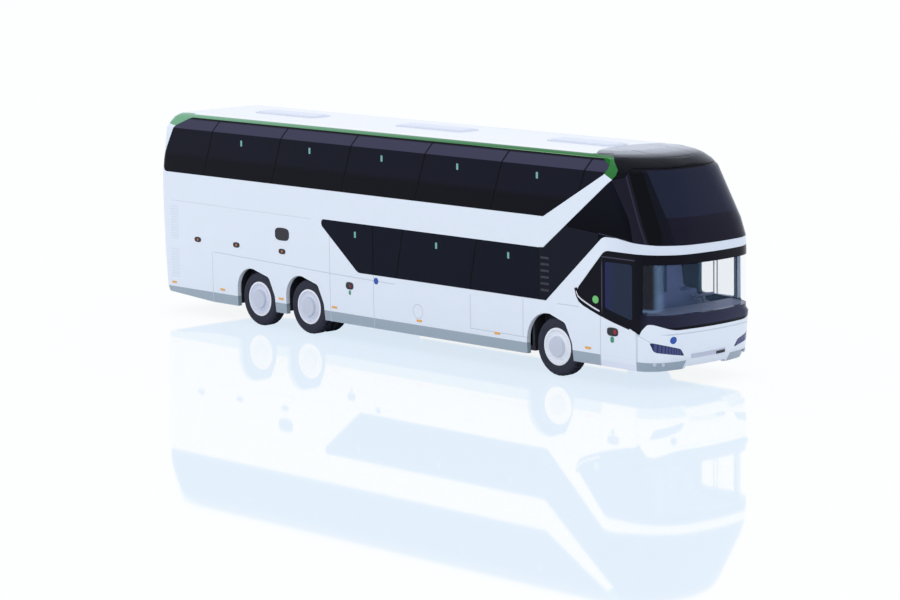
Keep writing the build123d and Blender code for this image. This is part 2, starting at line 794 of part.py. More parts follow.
steering_hub = (steering_x, steering_y, cab_floor_top + steering_height)
steering_plane = Plane(origin=steering_hub, z_dir=(-0.3, 0, 0.95))
column_length = steering_height - 0.3
with BuildPart() as steering_wheel:
    with BuildSketch(steering_plane):
        Circle(steering_radius)
        Circle(steering_radius - 0.4, mode=Mode.SUBTRACT)
        Rectangle(2 * steering_radius - 0.5, 0.5)
    extrude(amount=0.4)
    with BuildSketch(steering_plane.offset(-column_length)):
        Circle(0.4)
    extrude(amount=column_length)
steering_wheel.part.label = "steering_wheel"
export_step(steering_wheel.part, "parts/steering_wheel.step")


def wheel_profile(points, x, side):
    # turn a profile of radius and depth from the wheel's outer face round the axle
    with BuildPart() as turned:
        with BuildSketch(Plane.YZ.offset(x)):
            with BuildLine():
                rows = [(side * (wheel_face_y - depth), wheel_radius + radius) for radius, depth in points]
                Polyline(*rows, close=True)
            make_face()
        revolve(axis=Axis((x, 0, wheel_radius), (0, 1, 0)))
    return turned.part


def tyre_profile(offset_y):
    return (
        # radius, depth from the wheel's outer face
        (rim_radius, offset_y + 0.1),
        (wheel_radius - 0.9, offset_y),
        (wheel_radius - 0.25, offset_y + 0.3),
        (wheel_radius, offset_y + 0.7),
        (wheel_radius, offset_y + tyre_width - 0.7),
        (wheel_radius - 0.25, offset_y + tyre_width - 0.3),
        (wheel_radius - 0.9, offset_y + tyre_width),
        (rim_radius, offset_y + tyre_width - 0.1),
    )


def rim_profile(twin):
    depth = tyre_width * 2 + twin_gap if twin else tyre_width
    return (
        # radius, depth from the wheel's outer face
        (rim_radius, 0.12),
        (rim_radius - 0.35, 0.05),
        (rim_radius - 0.6, 0.35),
        (rim_radius - 1.1, 0.5),
        (hub_radius + 0.15, 0.1),
        (hub_radius, -hub_proud),
        (0.0, -hub_proud),
        (0.0, pin_depth),
        (axle_radius, pin_depth),
        (axle_radius, depth - 0.1),
        (hub_radius, depth - 0.1),
        (hub_radius, 1.7),
        (rim_radius - 0.6, 1.3),
        (rim_radius - 0.4, depth - 0.1),
        (rim_radius, depth - 0.1),
    )


# Axles: a steel pin, two rims and their tyres, which turn as one body
for name, x, twin, behind, ahead in axle_table:
    with BuildPart() as axle:
        with BuildSketch(Plane.XZ.offset(-(wheel_face_y - pin_depth))):
            with Locations((x, wheel_radius)):
                Circle(axle_radius)
        extrude(amount=2 * (wheel_face_y - pin_depth))
    axle.part.label = f"{name}_axle"
    export_step(axle.part, f"parts/{name}_axle.step")
    for side, side_name in ((-1, "right"), (1, "left")):
        with BuildPart() as rim:
            add(wheel_profile(rim_profile(twin), x, side))
        rim.part.label = f"{name}_rim_{side_name}"
        export_step(rim.part, f"parts/{name}_rim_{side_name}.step")
        with BuildPart() as tyre:
            add(wheel_profile(tyre_profile(0.0), x, side))
            if twin:
                add(wheel_profile(tyre_profile(tyre_width + twin_gap), x, side))
        tyre.part.label = f"{name}_tyre_{side_name}"
        export_step(tyre.part, f"parts/{name}_tyre_{side_name}.step")
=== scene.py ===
import json
import math
import bpy
import bmesh
from mathutils import Vector, Matrix

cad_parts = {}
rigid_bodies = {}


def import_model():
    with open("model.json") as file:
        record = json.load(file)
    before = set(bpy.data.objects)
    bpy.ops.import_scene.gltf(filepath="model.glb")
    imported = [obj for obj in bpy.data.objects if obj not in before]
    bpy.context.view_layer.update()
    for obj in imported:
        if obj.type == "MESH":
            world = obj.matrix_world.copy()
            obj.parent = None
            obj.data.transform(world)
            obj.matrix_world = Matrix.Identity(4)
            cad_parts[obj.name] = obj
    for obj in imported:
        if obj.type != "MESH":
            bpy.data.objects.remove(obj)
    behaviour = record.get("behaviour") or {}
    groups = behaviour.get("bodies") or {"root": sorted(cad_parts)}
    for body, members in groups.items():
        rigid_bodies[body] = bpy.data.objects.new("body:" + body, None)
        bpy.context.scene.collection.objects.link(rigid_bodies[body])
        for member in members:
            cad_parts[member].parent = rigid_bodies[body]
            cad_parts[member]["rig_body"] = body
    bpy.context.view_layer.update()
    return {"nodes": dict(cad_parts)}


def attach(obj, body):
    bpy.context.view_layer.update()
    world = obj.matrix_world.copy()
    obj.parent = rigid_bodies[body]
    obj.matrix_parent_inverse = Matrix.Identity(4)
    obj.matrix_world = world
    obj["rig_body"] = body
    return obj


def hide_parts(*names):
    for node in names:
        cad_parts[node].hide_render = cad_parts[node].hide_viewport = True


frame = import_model()
nodes = frame["nodes"]
mm = 0.001  # places and sizes below are in millimetres
print("frame loaded", len(nodes), "nodes")


class Sock:
    # one node output, so that maths on it is written as an expression
    def __init__(self, tree, socket):
        self.tree = tree
        self.socket = socket

    def math(self, operation, other=None, third=None, clamp=False):
        node = self.tree.nodes.new("ShaderNodeMath")
        node.operation = operation
        node.use_clamp = clamp
        for index, value in enumerate((self, other, third)):
            if isinstance(value, Sock):
                self.tree.links.new(value.socket, node.inputs[index])
            elif value is not None:
                node.inputs[index].default_value = value
        return Sock(self.tree, node.outputs[0])

    def __add__(self, other):
        return self.math("ADD", other)

    __radd__ = __add__

    def __sub__(self, other):
        return self.math("SUBTRACT", other)

    def __rsub__(self, other):
        return (self * -1.0) + other

    def __mul__(self, other):
        return self.math("MULTIPLY", other)

    __rmul__ = __mul__

    def __truediv__(self, other):
        return self.math("DIVIDE", other)

    def __abs__(self):
        return self.math("ABSOLUTE")

    def low(self, other):
        return self.math("MINIMUM", other)

    def high(self, other):
        return self.math("MAXIMUM", other)

    def root(self):
        return self.math("SQRT")

    def within(self, pitch):
        # rises to the pitch and falls back to 0, again and again
        return self.math("PINGPONG", pitch)

    def clamped(self):
        return self.math("ADD", 0.0, clamp=True)


class Finish:
    # one material and the few calls that its recipe needs
    def __init__(self, name, rough=0.3, specular=0.5, coat=0.0, metal=0.0):
        self.material = bpy.data.materials.new(name)
        self.material.use_nodes = True
        self.tree = self.material.node_tree
        self.shader = self.tree.nodes["Principled BSDF"]
        self.place = None
        for socket, value in (("Roughness", rough), ("Specular IOR Level", specular), ("Coat Weight", coat),
                              ("Metallic", metal), ("Coat Roughness", 0.05)):
            self.shader.inputs[socket].default_value = value

    def node(self, kind, settings=None, values=None, output=0):
        made = self.tree.nodes.new(kind)
        for key, value in (settings or {}).items():
            setattr(made, key, value)
        for key, value in (values or {}).items():
            self.feed(made.inputs[key], value)
        return Sock(self.tree, made.outputs[output])

    def feed(self, target, value):
        if isinstance(value, Sock):
            self.tree.links.new(value.socket, target)
        else:
            target.default_value = value

    def at(self):
        # the place on the coach in millimetres, as three numbers
        if self.place is None:
            coords = self.node("ShaderNodeTexCoord", output=3)
            scaled = self.node("ShaderNodeVectorMath", {"operation": "SCALE"}, {0: coords, "Scale": 1000.0})
            parts = self.tree.nodes.new("ShaderNodeSeparateXYZ")
            self.tree.links.new(scaled.socket, parts.inputs[0])
            self.place = [Sock(self.tree, out) for out in parts.outputs]
        return self.place

    def mix(self, share, first, second):
        made = self.tree.nodes.new("ShaderNodeMix")
        made.data_type = "RGBA"
        self.feed(made.inputs["Factor"], share)
        for index, value in ((6, first), (7, second)):
            self.feed(made.inputs[index], value)
        return Sock(self.tree, made.outputs[2])

    def noise(self, scale, detail=3.0, roughness=0.5):
        coords = self.node("ShaderNodeTexCoord", output=3)
        return self.node("ShaderNodeTexNoise", None,
                         {"Vector": coords, "Scale": scale, "Detail": detail, "Roughness": roughness})

    def relief(self, height, strength=0.3, distance=0.0001):
        # small surface relief; height is 0 to 1 and distance its full depth in metres
        bump = self.node("ShaderNodeBump", None,
                         {"Strength": strength, "Distance": distance, "Height": height})
        self.feed(self.shader.inputs["Normal"], bump)

    def grain(self, scale=2500.0, strength=0.05):
        # the faint unevenness of moulded or lacquered plastic
        self.relief(self.noise(scale, 2.0), strength, 0.00004)

    def set(self, **values):
        for key, value in values.items():
            self.feed(self.shader.inputs[key.replace("_", " ")], value)
        return self


def colour(r, g, b):
    # an on-screen colour, 0 to 255, as the linear value that shaders take
    def linear(c):
        c = c / 255
        return c / 12.92 if c <= 0.04045 else ((c + 0.055) / 1.055) ** 2.4
    return (linear(r), linear(g), linear(b), 1.0)


def step(value, edge, soft=0.06):
    # 0 below the edge and 1 above it, blended over a very short stretch
    return ((value - edge) / soft + 0.5).clamped()


def inside(value, low, high, soft=0.06):
    return step(value, low, soft) * (1 - step(value, high, soft))


def stroke(value, centre, half, soft):
    # 1 on a thin line round the centre value
    return 1 - step(abs(value - centre), half, soft)


def seam(u, v, start, end, width):
    # 1 on a straight line drawn between two points of the plane u, v
    du, dv = end[0] - start[0], end[1] - start[1]
    length = math.hypot(du, dv)
    du, dv = du / length, dv / length
    across = abs((u - start[0]) * dv - (v - start[1]) * du)
    along = (u - start[0]) * du + (v - start[1]) * dv
    return (1 - step(across, width / 2, width / 2)) * inside(along, 0.0, length, width / 2)


def seams(u, v, rows, width):
    found = None
    for start, end in rows:
        line = seam(u, v, start, end, width)
        found = line if found is None else found.high(line)
    return found


def disc(u, v, centre, radii, soft=0.12):
    # 1 inside an ellipse
    far = (((u - centre[0]) / radii[0]) * ((u - centre[0]) / radii[0])
           + ((v - centre[1]) / radii[1]) * ((v - centre[1]) / radii[1])).root()
    return 1 - step(far, 1.0, soft)


smoothing = {"weld": 2e-6, "sharpFrom": 28, "weight": 100}  # metres, degrees, share of large faces


def smoothCopy(name, material):
    # the node's own shape with its ruled strips shaded as one rounded surface
    source = nodes[name].data
    mesh = bpy.data.meshes.new(name + "Smooth")
    mesh.from_pydata([v.co[:] for v in source.vertices], [], [tuple(p.vertices) for p in source.polygons])
    work = bmesh.new()
    work.from_mesh(mesh)
    bmesh.ops.remove_doubles(work, verts=work.verts, dist=smoothing["weld"])
    sharp = math.radians(smoothing["sharpFrom"])
    for edge in work.edges:
        edge.smooth = edge.is_manifold and edge.calc_face_angle(0.0) < sharp
    for face in work.faces:
        face.smooth = True
    work.to_mesh(mesh)
    work.free()
    piece = bpy.data.objects.new(name + "Finished", mesh)
    bpy.context.scene.collection.objects.link(piece)
    weights = piece.modifiers.new("evenShading", "WEIGHTED_NORMAL")
    weights.keep_sharp = True
    weights.weight = smoothing["weight"]
    mesh.materials.append(material)
    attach(piece, nodes[name]["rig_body"])
    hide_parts(name)


def addPiece(name, verts, faces, material, slot, body="coach", smooth=False, bevel=0.0):
    # a new piece from points in millimetres
    mesh = bpy.data.meshes.new(name)
    mesh.from_pydata([tuple(c * mm for c in v) for v in verts], [], faces)
    mesh.validate()
    work = bmesh.new()
    work.from_mesh(mesh)
    bmesh.ops.recalc_face_normals(work, faces=work.faces)
    for face in work.faces:
        face.smooth = smooth
    work.to_mesh(mesh)
    work.free()
    mesh.materials.append(material)
    piece = bpy.data.objects.new(name, mesh)
    bpy.context.scene.collection.objects.link(piece)
    if bevel:
        edge = piece.modifiers.new("softEdge", "BEVEL")
        edge.width = bevel * mm
        edge.segments = 2
        edge.limit_method = "ANGLE"
    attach(piece, body)
    return piece


# Wheels: place along the coach, and whether they are twins
axles = {"front": (49.4, False), "drive": (-27.8, True), "tag": (-44.65, False)}
wheelRadius = 6.05

# White body: paint areas, a painted highlight on the roof top, printed lines, painted shade on the rear
# louvre columns and the grey skirt, with all places in millimetres
bodyLook = {
    "white": colour(229, 239, 254), "roof": colour(248, 250, 255), "grey": colour(156, 173, 189),
    "doorSkirt": colour(224, 233, 252), "line": colour(196, 207, 226), "faint": colour(216, 226, 243),
    "black": colour(12, 13, 26), "frontWhite": colour(216, 227, 245), "rough": 0.16, "specular": 0.5,
    "coat": 0.35, "lineWidth": 0.16, "sideFrom": 14.2, "roofFrom": 45.72, "skirtTop": 6.0,
    "doorSkirtTop": 4.95, "door": (62.1, 71.9), "bandFrom": 66.0, "band": (26.0, 32.0),
    "capCentre": (8.25, 8.9), "capOuter": (1.55, 1.55), "capInner": (1.4, 1.4), "rearFrom": -76.5,
    "ribSpan": (-75.4, -72.6), "ribPitch": 0.31, "ribLow": (8.2, 15.0), "ribHigh": (17.0, 25.0),
}
sideSeams = (
    ((-60.6, 3.7), (-60.6, 15.2)), ((-60.0, 15.25), (-20.0, 14.3)), ((-20.0, 14.3), (1.0, 14.0)),
    ((39.95, 7.1), (40.1, 14.9)), ((24.4, 7.1), (43.0, 7.1)), ((24.4, 7.1), (24.4, 14.3)),
    ((62.1, 3.7), (62.1, 14.6)), ((71.9, 3.7), (71.9, 11.2)), ((50.0, 15.0), (56.0, 15.0)),
)
doorSeams = (((-20.0, 3.7), (-20.0, 24.6)), ((-5.8, 3.7), (-5.8, 15.3)), ((-20.0, 24.6), (-14.0, 24.9)))
beltSeams = (((-75.0, 25.9), (-26.0, 25.7)),)
rearSeams = (((-13.0, 8.1), (13.0, 8.1)), ((-12.6, 26.6), (12.6, 26.6)))

# Green paint: a line along the roof's edge, a drop at the rear corner and a hook in front, with a painted
# highlight along the edge
greenLook = {
    "front": colour(0, 112, 26), "rear": colour(108, 170, 130), "gleamGreen": colour(150, 200, 158),
    "fadeStart": -76.0, "fadeLength": 110.0, "edge": (44.98, 45.72), "edgeEnd": 66.0,
    "gleam": (45.02, 45.16), "gleamSpan": (30.0, 60.0), "clearHalf": 11.0,
    "dropEnd": -69.6, "dropFoot": (-74.0, 43.15), "dropSlope": 0.12,
    "hookSpan": (57.5, 70.0), "hookFoot": (63.3, 42.2), "hookSlope": 0.533, "hookTop": 45.76,
    "outerCentre": (61.0, 42.6), "outerRadii": (4.95, 2.98), "outerFrom": (60.6, 42.4),
    "browFrom": (58.7, 45.6),
}


def makeBodyWhite():
    b, g = bodyLook, greenLook
    f = Finish("bodyWhite", b["rough"], b["specular"], b["coat"])
    x, y, z = f.at()
    side = step(abs(y), b["sideFrom"])
    right = 1 - step(y, -b["sideFrom"])
    # painted highlight: above roofFrom the roof top is a lighter white, standing in for the light that falls
    # on it
    body = f.mix(step(z, b["roofFrom"]), b["white"], b["roof"])
    body = f.mix(step(x, b["bandFrom"], 8.0) * inside(z, *b["band"]), body, b["frontWhite"])
    skirt = 1 - step(z, b["skirtTop"])
    door = inside(x, *b["door"])
    body = f.mix(skirt, body, b["grey"])
    body = f.mix(skirt * door, body, b["white"])
    body = f.mix((1 - step(z, b["doorSkirtTop"])) * door, body, b["doorSkirt"])
    (dropX, dropZ), (footX, footZ) = g["dropFoot"], g["hookFoot"]
    drop = (1 - step(x, g["dropEnd"])) * step(z + (x - dropX) * g["dropSlope"], dropZ)
    edge = inside(z, *g["edge"]) * (1 - step(x, g["edgeEnd"]))
    hook = inside(x, *g["hookSpan"]) * step((z - footZ) + (x - footX) * g["hookSlope"], 0.0)
    hook = hook * (1 - step(z, g["hookTop"]))
    green = drop.high(edge).high(hook) * (1 - inside(y, -g["clearHalf"], g["clearHalf"]))
    tone = f.mix(((x - g["fadeStart"]) / g["fadeLength"]).clamped(), g["rear"], g["front"])
    # painted highlight: a pale green stripe along the top of the edge line
    gleam = edge * inside(z, *g["gleam"], 0.1) * inside(x, *g["gleamSpan"], 12.0)
    body = f.mix(green, body, f.mix(gleam, tone, g["gleamGreen"]))
    # outside the hook's rounded outer edge the roof front is black
    (outerX, outerZ), (browX, browZ) = g["outerFrom"], g["browFrom"]
    outer = disc(x, z, g["outerCentre"], g["outerRadii"], 0.03)
    beyond = ((1 - outer) * step(x, outerX) * step(z, outerZ)).high(step(z, browZ) * step(x, browX))
    body = f.mix(beyond, body, b["black"])
    width = b["lineWidth"]
    lines = seams(x, z, sideSeams, width).high(seams(x, z, doorSeams, width) * right) * side
    belt = seams(x, z, beltSeams, width) * side
    cap = disc(x, z, b["capCentre"], b["capOuter"], 0.08) * side
    cap = cap * (1 - disc(x, z, b["capCentre"], b["capInner"], 0.08))
    rear = seams(y, z, rearSeams, width) * (1 - step(x, b["rearFrom"]))
    drawn = lines.high(cap).high(rear)
    body = f.mix(belt, body, b["faint"])
    body = f.mix(drawn, body, b["line"])
    # fine louvre columns at the rear corners, drawn as painted shade in stripes between the ribs
    rises = inside(z, *b["ribLow"]).high(inside(z, *b["ribHigh"]))
    ribs = (z.within(b["ribPitch"]) / b["ribPitch"]) * inside(x, *b["ribSpan"]) * rises * side
    body = f.mix(ribs * 0.35, body, b["line"])
    f.set(Base_Color=body, Coat_Weight=(1 - green.high(beyond)) * b["coat"])
    f.relief(1 - drawn.high(belt).high(ribs * 0.6), 0.5, 0.00008)
    return f.material


# Bumper: white, with grey lower corners, a crease across and brow lines over the headlamps
bumperLook = {
    "white": colour(227, 238, 253), "grey": colour(150, 169, 187), "line": colour(170, 184, 206),
    "greyTop": 5.62, "greyFrom": 6.4, "creaseZ": 11.25, "creaseHalf": 12.2, "creaseFrom": 70.0,
    "postX": 72.2, "postTop": 11.0, "postFrom": 13.5,
    "brow": (((72.0, 11.1), (73.65, 10.5)), ((73.65, 10.5), (75.2, 9.7))),
}


def makeFrontWhite():
    b = bumperLook
    f = Finish("frontWhite", bodyLook["rough"], bodyLook["specular"], bodyLook["coat"])
    x, y, z = f.at()
    reach = abs(y)
    body = f.mix((1 - step(z, b["greyTop"])) * step(reach, b["greyFrom"]), b["white"], b["grey"])
    crease = stroke(z, b["creaseZ"], 0.12, 0.12) * (1 - step(reach, b["creaseHalf"], 1.5))
    crease = crease * step(x, b["creaseFrom"])
    post = stroke(x, b["postX"], 0.08, 0.08) * (1 - step(z, b["postTop"])) * step(reach, b["postFrom"])
    lines = crease.high(seams(x, z, b["brow"], 0.14)).high(post)
    f.set(Base_Color=f.mix(lines * 0.6, body, b["line"]))
    f.relief(1 - lines, 0.5, 0.00008)
    return f.material


coverLook = {"white": colour(218, 229, 246), "slat": colour(178, 192, 214), "pitch": 0.9,
             "rise": (10.4, 22.0), "half": 7.4}


def makeRear():
    c = coverLook
    f = Finish("rearWhite", 0.22, 0.5, 0.25)
    x, y, z = f.at()
    # painted shade: the grille's slats are darker stripes that fade in and out, standing in for the shade
    # between them
    slats = (z.within(c["pitch"]) / c["pitch"]) * inside(z, *c["rise"]) * inside(y, -c["half"], c["half"])
    f.set(Base_Color=f.mix(slats, c["white"], c["slat"]))
    f.relief(1 - slats, 0.4, 0.0001)
    return f.material


# Black glazing: printed pane divisions, a painted reflection on the leaning strip, darker towards the foot,
# and tone that differs at random
glassLook = {
    "upper": colour(14, 16, 33), "lean": colour(60, 60, 84), "foot": colour(6, 8, 18),
    "lower": colour(8, 15, 33), "panel": colour(18, 22, 36), "division": colour(2, 3, 9),
    "joint": colour(58, 62, 82), "reflectionFromZ": 42.6, "footZ": 36.6, "frameZ": 44.7, "hookCorner": (61.3, 45.05),
    "hookSlope": 0.5, "hookFrom": 60.0, "rough": 0.1, "specular": 0.08, "divisionWidth": 0.42,
}
upperDivisions = [((x - 4.3, 32.4), (x, 45.0)) for x in (-58.9, -35.0, -11.7, 11.8, 34.9, 58.6)]
paneJoint = ((44.4, 15.0), (44.4, 26.2))
lowerDivisions = (((-5.8, 15.0), (-5.8, 26.2)), ((1.5, 15.3), (3.9, 26.1)), ((24.3, 15.3), (26.5, 26.1)),
                  paneJoint)


def makeGlazing(name, base, divisions=(), lean=False):
    g = glassLook
    f = Finish(name, g["rough"], g["specular"])
    x, y, z = f.at()
    tone = f.mix((f.noise(60.0, 2.0) - 0.4).clamped() * 0.6, base, g["foot"])
    if lean:
        tone = f.mix(1 - step(z, g["footZ"], 1.2), tone, g["foot"])
        # painted reflection: the leaning strip at the top is lighter, standing in for light mirrored in it
        tone = f.mix(step(z, g["reflectionFromZ"]), tone, g["lean"])
        tone = f.mix(step(z, g["frameZ"], 0.3), tone, g["division"])
    if divisions:
        lines = seams(x, z, divisions, g["divisionWidth"])
        tone = f.mix(lines, tone, g["division"])
        f.set(Roughness=lines * 0.5 + g["rough"])
    if lean:
        # the green hook's rounded inner edge covers the pane's front top corner
        cornerX, cornerZ = g["hookCorner"]
        corner = step(z + (x - cornerX) * g["hookSlope"], cornerZ) * step(x, g["hookFrom"])
        tone = f.mix(corner, tone, greenLook["front"])
    f.set(Base_Color=tone)
    return f.material


quarterLook = {"low": colour(4, 6, 16), "high": colour(14, 16, 30), "from": 31.0, "rise": 10.0,
               "joint": (((61.4, 30.35), (69.2, 29.55)),), "jointWidth": 0.16}


def makeQuarterHigh():
    q = quarterLook
    f = Finish("quarterGlazing", glassLook["rough"], 0.05)
    x, y, z = f.at()
    # painted reflection: the black pane grows lighter towards the top
    tone = f.mix(((z - q["from"]) / q["rise"]).clamped(), q["low"], q["high"])
    # painted highlight: a thin light line along the joint of the two panes
    f.set(Base_Color=f.mix(seams(x, z, q["joint"], q["jointWidth"]), tone, glassLook["joint"]))
    f.grain()
    return f.material


# Upper windscreen: a clear pane between black leaning strips, darker below the upper floor, with a painted
# reflection on the band behind the strips and a painted highlight along its edge
screenLook = {
    "pane": colour(30, 35, 57), "paneLow": colour(24, 21, 39), "strip": colour(1, 1, 6),
    "gleam": colour(12, 14, 28), "side": colour(22, 22, 37), "edge": colour(48, 48, 68),
    "brow": colour(10, 9, 20),
    "top": 42.6, "sideX": 68.2, "edgeX": 67.6, "lean": 0.47, "paneHalf": 10.85, "paneSpread": 0.0887,
    "gleamFrom": 10.25, "floorZ": 34.1, "browZ": 43.05, "clearTop": 43.0, "seeThrough": 0.12,
}


def makeUpperScreen():
    s = screenLook
    f = Finish("upperScreen", 0.08, 0.1)
    x, y, z = f.at()
    drop = s["top"] - z
    leaning = x - drop * s["lean"]
    reach = abs(y)
    side = 1 - step(leaning, s["sideX"])
    pane = 1 - step(reach - drop * s["paneSpread"], s["paneHalf"])
    tone = f.mix(pane, s["strip"], f.mix(step(z, s["floorZ"], 0.3), s["paneLow"], s["pane"]))
    tone = f.mix(pane * step(reach, s["gleamFrom"]), tone, s["gleam"])
    # painted reflection: the band behind the leaning strips is lighter, with a painted highlight along its
    # front edge
    tone = f.mix(side, tone, s["side"])
    tone = f.mix(stroke(leaning, s["edgeX"], 0.16, 0.12) * side * 0.8, tone, s["edge"])
    tone = f.mix(step(z, s["browZ"]), tone, s["brow"])
    f.set(Base_Color=tone, Alpha=1 - pane * (1 - step(z, s["clearTop"])) * s["seeThrough"])
    return f.material


domeLook = {
    "side": colour(6, 6, 16), "top": colour(58, 60, 76), "line": colour(1, 1, 4), "sheenFromZ": 45.6,
    "hatchX": 62.6, "hatchLong": 8.3, "hatchHalf": 4.95, "hatchFrom": 57.0,
}


def makeDome():
    # the dark line is the rounded rectangle of the front hatch
    d = domeLook
    f = Finish("domeBlack", 0.15, 0.1)
    x, y, z = f.at()
    along, across = (x - d["hatchX"]) / d["hatchLong"], y / d["hatchHalf"]
    along, across = along * along, across * across
    far = (along * along + across * across).root().root()
    rim = stroke(far, 1.0, 0.02, 0.016) * step(x, d["hatchFrom"])
    # painted reflection: the dome's top is a lighter grey, standing in for the light that its glossy black
    # mirrors
    top = step(z, d["sheenFromZ"], 0.8)
    f.set(Base_Color=f.mix(rim, f.mix(top, d["side"], d["top"]), d["line"]), Coat_Weight=top * (1 - rim))
    f.relief(1 - rim, 0.7, 0.00015)
    return f.material


# Black surround of the lower windscreen: a painted reflection on the apron, a painted reflection that makes
# the far pillar pale, and painted highlights on two moulded ribs
cabLook = {
    "black": colour(8, 10, 23), "shine": colour(34, 35, 56), "shineLeft": colour(50, 54, 80),
    "foot": colour(4, 4, 14), "pillar": colour(152, 162, 180), "ribHighlight": colour(84, 84, 104),
    "post": colour(96, 92, 120),
    "apronTop": 15.2, "apronFrom": 73.6, "footTop": 12.62, "shineFrom": -12.0, "shineLength": 22.0,
    "pillarFrom": 13.4, "pillarX": 69.0, "pillarRise": (15.4, 25.2), "doorSide": -14.0,
    "ribZ": 25.75, "ribSpan": (62.4, 71.6), "postX": 62.55, "postRise": (15.0, 24.6),
}


def makeSurround():
    c = cabLook
    f = Finish("cabBlack", 0.12, 0.09)
    x, y, z = f.at()
    # painted reflection: the apron is lighter, more so towards the left
    apron = (1 - step(z, c["apronTop"])) * step(x, c["apronFrom"], 2.0)
    shine = f.mix(((y - c["shineFrom"]) / c["shineLength"]).clamped(), c["shine"], c["shineLeft"])
    tone = f.mix(apron, c["black"], shine)
    tone = f.mix(apron * (1 - step(z, c["footTop"], 0.25)), tone, c["foot"])
    # painted reflection: the far pillar is painted pale
    pillar = step(y, c["pillarFrom"]) * step(x, c["pillarX"]) * inside(z, *c["pillarRise"])
    tone = f.mix(pillar, tone, c["pillar"])
    doorSide = 1 - step(y, c["doorSide"])
    # painted highlights: light lines along the moulded rib and the post by the door
    ribHighlight = stroke(z, c["ribZ"], 0.1, 0.1) * inside(x, *c["ribSpan"]) * doorSide
    post = stroke(x, c["postX"], 0.12, 0.1) * inside(z, *c["postRise"], 2.0) * doorSide
    tone = f.mix(post * 0.6, f.mix(ribHighlight * 0.7, tone, c["ribHighlight"]), c["post"])
    f.set(Base_Color=tone)
    f.grain()
    return f.material


# The three panes that one sees through: door, lower windscreen, driver's sliding window
paneLook = {
    "doorRearReflection": colour(38, 44, 90), "doorFront": colour(36, 47, 70), "doorFrom": 63.6, "doorFade": 2.4,
    "doorAlpha": 0.94, "clear": colour(150, 190, 240), "dark": colour(10, 13, 28), "darkTo": -12.7,
    "darkFoot": 15.9, "clearAlpha": 0.035, "darkAlpha": 0.86, "driver": colour(90, 205, 255),
    "bar": colour(168, 178, 194), "barX": 66.75, "barHalf": 0.17, "driverAlpha": 0.07, "barAlpha": 0.85,
}


def makeDoorGlass():
    p = paneLook
    f = Finish("doorGlass", 0.07, 0.1)
    x, y, z = f.at()
    # painted reflection: the pane's rear end is violet, fading into the front colour
    f.set(Base_Color=f.mix(((x - p["doorFrom"]) / p["doorFade"]).clamped(), p["doorRearReflection"], p["doorFront"]),
          Alpha=p["doorAlpha"])
    return f.material


def makeClearScreen():
    # its right-hand end is printed dark and fades out
    p = paneLook
    f = Finish("clearScreen", 0.04, 0.25)
    x, y, z = f.at()
    dark = (1 - step(y, p["darkTo"], 1.6)) * step(z, p["darkFoot"], 0.8)
    f.set(Base_Color=f.mix(dark, p["clear"], p["dark"]), Alpha=dark * p["darkAlpha"] + p["clearAlpha"])
    return f.material


def makeDriverGlass():
    # the upright bar is the edge of the sliding pane
    p = paneLook
    f = Finish("driverGlass", 0.04, 0.25)
    x, y, z = f.at()
    bar = inside(x, p["barX"] - p["barHalf"], p["barX"] + p["barHalf"])
    f.set(Base_Color=f.mix(bar, p["driver"], p["bar"]), Alpha=bar * p["barAlpha"] + p["driverAlpha"])
    return f.material


lampLook = {"glass": colour(26, 31, 82), "cell": colour(64, 74, 132), "pitch": 0.62, "half": 0.2,
            "span": (7.9, 13.6)}


def makeLamp():
    # blue-violet lamp glass with upright cells behind it
    p = lampLook
    f = Finish("lampGlass", 0.08, 0.3, 0.15)
    x, y, z = f.at()
    cells = stroke(abs(y).within(p["pitch"]), p["pitch"] / 2, p["half"], 0.14)
    cells = cells * inside(abs(y), *p["span"], 0.5)
    f.set(Base_Color=f.mix(cells, p["glass"], p["cell"]))
    f.relief(cells, 0.4, 0.0001)
    return f.material


tailLook = {"red": colour(168, 14, 18), "amber": colour(226, 118, 20), "clear": colour(214, 214, 222),
            "shade": colour(60, 6, 10), "amberRise": (13.2, 15.0), "clearRise": (11.6, 13.1), "pitch": 0.3}


def makeTail():
    t = tailLook
    f = Finish("tailLamp", 0.1, 0.5, 0.6)
    x, y, z = f.at()
    tone = f.mix(inside(z, *t["amberRise"]), t["red"], t["amber"])
    tone = f.mix(inside(z, *t["clearRise"]), tone, t["clear"])
    cells = (z.within(t["pitch"]) / t["pitch"]).high(y.within(t["pitch"]) / t["pitch"])
    f.set(Base_Color=f.mix(cells * 0.3, tone, t["shade"]))
    f.relief(cells, 0.4, 0.0001)
    return f.material


def makeMoulded(name, base, dark, rough=0.6, scale=900.0):
    # matt moulded plastic with a fine grain
    f = Finish(name, rough, 0.35)
    f.set(Base_Color=f.mix(f.noise(scale, 4.0), base, dark),
          Roughness=f.noise(scale / 3, 2.0) * 0.2 + (rough - 0.1))
    f.grain(3500.0, 0.25)
    return f.material


rimLook = {
    "dish": colour(220, 227, 245), "dishShade": colour(214, 221, 240), "frontDishLit": colour(236, 242, 254),
    "hub": colour(200, 208, 227), "line": colour(176, 184, 204), "ring": colour(240, 244, 254),
    "hubRadius": 2.02, "lineRadius": 2.12, "ringFrom": 3.45,
}


